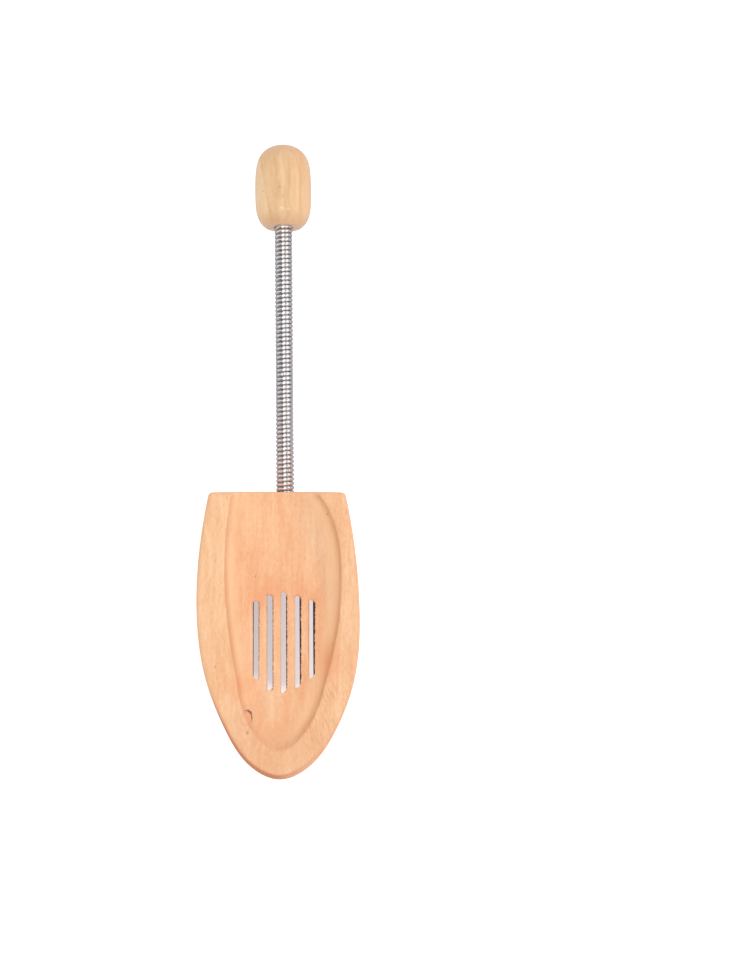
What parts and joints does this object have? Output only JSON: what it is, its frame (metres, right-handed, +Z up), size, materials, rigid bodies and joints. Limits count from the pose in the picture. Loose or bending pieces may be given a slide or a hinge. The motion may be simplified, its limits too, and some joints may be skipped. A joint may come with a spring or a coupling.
{
  "type": "shoe tree",
  "caption": "Wooden shoe tree: a scooped, vented toe block joined to a turned heel knob by a long close-wound coil spring that bends.",
  "frame": {"origin": "under the middle of the tree's bounding box, at the height of the surface it lies on", "axes": "+Z up, out of the scooped sole side; +Y from the toe towards the heel knob; +X towards the inner side of the foot"},
  "size_m": [0.0722, 0.2864, 0.044],
  "materials": {
    "block_wood": "smooth sanded, peach-pink, unvarnished",
    "knob_wood": "turned, waxed, pale yellow",
    "peg_wood": "plain",
    "spring_steel": "bright plated wire"
  },
  "bodies": {
    "block": {"toe_block": "block_wood", "toe_peg": "peg_wood", "spring_00": "spring_steel"},
    "coil_01": {"spring_01": "spring_steel"},
    "coil_02": {"spring_02": "spring_steel"},
    "coil_03": {"spring_03": "spring_steel"},
    "coil_04": {"spring_04": "spring_steel"},
    "coil_05": {"spring_05": "spring_steel"},
    "coil_06": {"spring_06": "spring_steel"},
    "coil_07": {"spring_07": "spring_steel"},
    "coil_08": {"spring_08": "spring_steel"},
    "coil_09": {"spring_09": "spring_steel"},
    "coil_10": {"spring_10": "spring_steel"},
    "coil_11": {"spring_11": "spring_steel"},
    "coil_12": {"spring_12": "spring_steel"},
    "coil_13": {"spring_13": "spring_steel"},
    "coil_14": {"spring_14": "spring_steel"},
    "coil_15": {"spring_15": "spring_steel"},
    "heel": {"spring_16": "spring_steel", "heel_peg": "peg_wood", "heel_knob": "knob_wood"}
  },
  "joints": [
    {"name": "lift_01", "type": "hinge", "parent": "block", "child": "coil_01", "pos_m": [0.00216, -0.01027, 0.02245], "axis": [0.9999, 0.0105, 0], "range_deg": [-11.25, 11.25], "stiffness_Nm_per_rad": 0.89},
    {"name": "sway_01", "type": "hinge", "parent": "coil_01", "child": "coil_02", "pos_m": [0.00209, -0.00299, 0.02195], "axis": [-0.0007, 0.0698, 0.9976], "range_deg": [-11.25, 11.25], "stiffness_Nm_per_rad": 0.89},
    {"name": "lift_02", "type": "hinge", "parent": "coil_02", "child": "coil_03", "pos_m": [0.00201, 0.00429, 0.02144], "axis": [0.9999, 0.0105, 0], "range_deg": [-11.25, 11.25], "stiffness_Nm_per_rad": 0.89},
    {"name": "sway_02", "type": "hinge", "parent": "coil_03", "child": "coil_04", "pos_m": [0.00194, 0.01157, 0.02093], "axis": [-0.0007, 0.0698, 0.9976], "range_deg": [-11.25, 11.25], "stiffness_Nm_per_rad": 0.89},
    {"name": "lift_03", "type": "hinge", "parent": "coil_04", "child": "coil_05", "pos_m": [0.00186, 0.01885, 0.02042], "axis": [0.9999, 0.0105, 0], "range_deg": [-11.25, 11.25], "stiffness_Nm_per_rad": 0.89},
    {"name": "sway_03", "type": "hinge", "parent": "coil_05", "child": "coil_06", "pos_m": [0.00178, 0.02613, 0.01991], "axis": [-0.0007, 0.0698, 0.9976], "range_deg": [-11.25, 11.25], "stiffness_Nm_per_rad": 0.89},
    {"name": "lift_04", "type": "hinge", "parent": "coil_06", "child": "coil_07", "pos_m": [0.00171, 0.03342, 0.0194], "axis": [0.9999, 0.0105, 0], "range_deg": [-11.25, 11.25], "stiffness_Nm_per_rad": 0.89},
    {"name": "sway_04", "type": "hinge", "parent": "coil_07", "child": "coil_08", "pos_m": [0.00163, 0.0407, 0.01889], "axis": [-0.0007, 0.0698, 0.9976], "range_deg": [-11.25, 11.25], "stiffness_Nm_per_rad": 0.89},
    {"name": "lift_05", "type": "hinge", "parent": "coil_08", "child": "coil_09", "pos_m": [0.00155, 0.04798, 0.01838], "axis": [0.9999, 0.0105, 0], "range_deg": [-11.25, 11.25], "stiffness_Nm_per_rad": 0.89},
    {"name": "sway_05", "type": "hinge", "parent": "coil_09", "child": "coil_10", "pos_m": [0.00148, 0.05526, 0.01787], "axis": [-0.0007, 0.0698, 0.9976], "range_deg": [-11.25, 11.25], "stiffness_Nm_per_rad": 0.89},
    {"name": "lift_06", "type": "hinge", "parent": "coil_10", "child": "coil_11", "pos_m": [0.0014, 0.06254, 0.01736], "axis": [0.9999, 0.0105, 0], "range_deg": [-11.25, 11.25], "stiffness_Nm_per_rad": 0.89},
    {"name": "sway_06", "type": "hinge", "parent": "coil_11", "child": "coil_12", "pos_m": [0.00133, 0.06983, 0.01685], "axis": [-0.0007, 0.0698, 0.9976], "range_deg": [-11.25, 11.25], "stiffness_Nm_per_rad": 0.89},
    {"name": "lift_07", "type": "hinge", "parent": "coil_12", "child": "coil_13", "pos_m": [0.00125, 0.07711, 0.01634], "axis": [0.9999, 0.0105, 0], "range_deg": [-11.25, 11.25], "stiffness_Nm_per_rad": 0.89},
    {"name": "sway_07", "type": "hinge", "parent": "coil_13", "child": "coil_14", "pos_m": [0.00117, 0.08439, 0.01583], "axis": [-0.0007, 0.0698, 0.9976], "range_deg": [-11.25, 11.25], "stiffness_Nm_per_rad": 0.89},
    {"name": "lift_08", "type": "hinge", "parent": "coil_14", "child": "coil_15", "pos_m": [0.0011, 0.09167, 0.01533], "axis": [0.9999, 0.0105, 0], "range_deg": [-11.25, 11.25], "stiffness_Nm_per_rad": 0.89},
    {"name": "sway_08", "type": "hinge", "parent": "coil_15", "child": "heel", "pos_m": [0.00102, 0.09895, 0.01482], "axis": [-0.0007, 0.0698, 0.9976], "range_deg": [-11.25, 11.25], "stiffness_Nm_per_rad": 0.89}
  ],
  "couplings": [
    {"joint": "lift_02", "follows": "lift_01", "ratio": 1},
    {"joint": "sway_02", "follows": "sway_01", "ratio": 1},
    {"joint": "lift_03", "follows": "lift_01", "ratio": 1},
    {"joint": "sway_03", "follows": "sway_01", "ratio": 1},
    {"joint": "lift_04", "follows": "lift_01", "ratio": 1},
    {"joint": "sway_04", "follows": "sway_01", "ratio": 1},
    {"joint": "lift_05", "follows": "lift_01", "ratio": 1},
    {"joint": "sway_05", "follows": "sway_01", "ratio": 1},
    {"joint": "lift_06", "follows": "lift_01", "ratio": 1},
    {"joint": "sway_06", "follows": "sway_01", "ratio": 1},
    {"joint": "lift_07", "follows": "lift_01", "ratio": 1},
    {"joint": "sway_07", "follows": "sway_01", "ratio": 1},
    {"joint": "lift_08", "follows": "lift_01", "ratio": 1},
    {"joint": "sway_08", "follows": "sway_01", "ratio": 1}
  ]
}
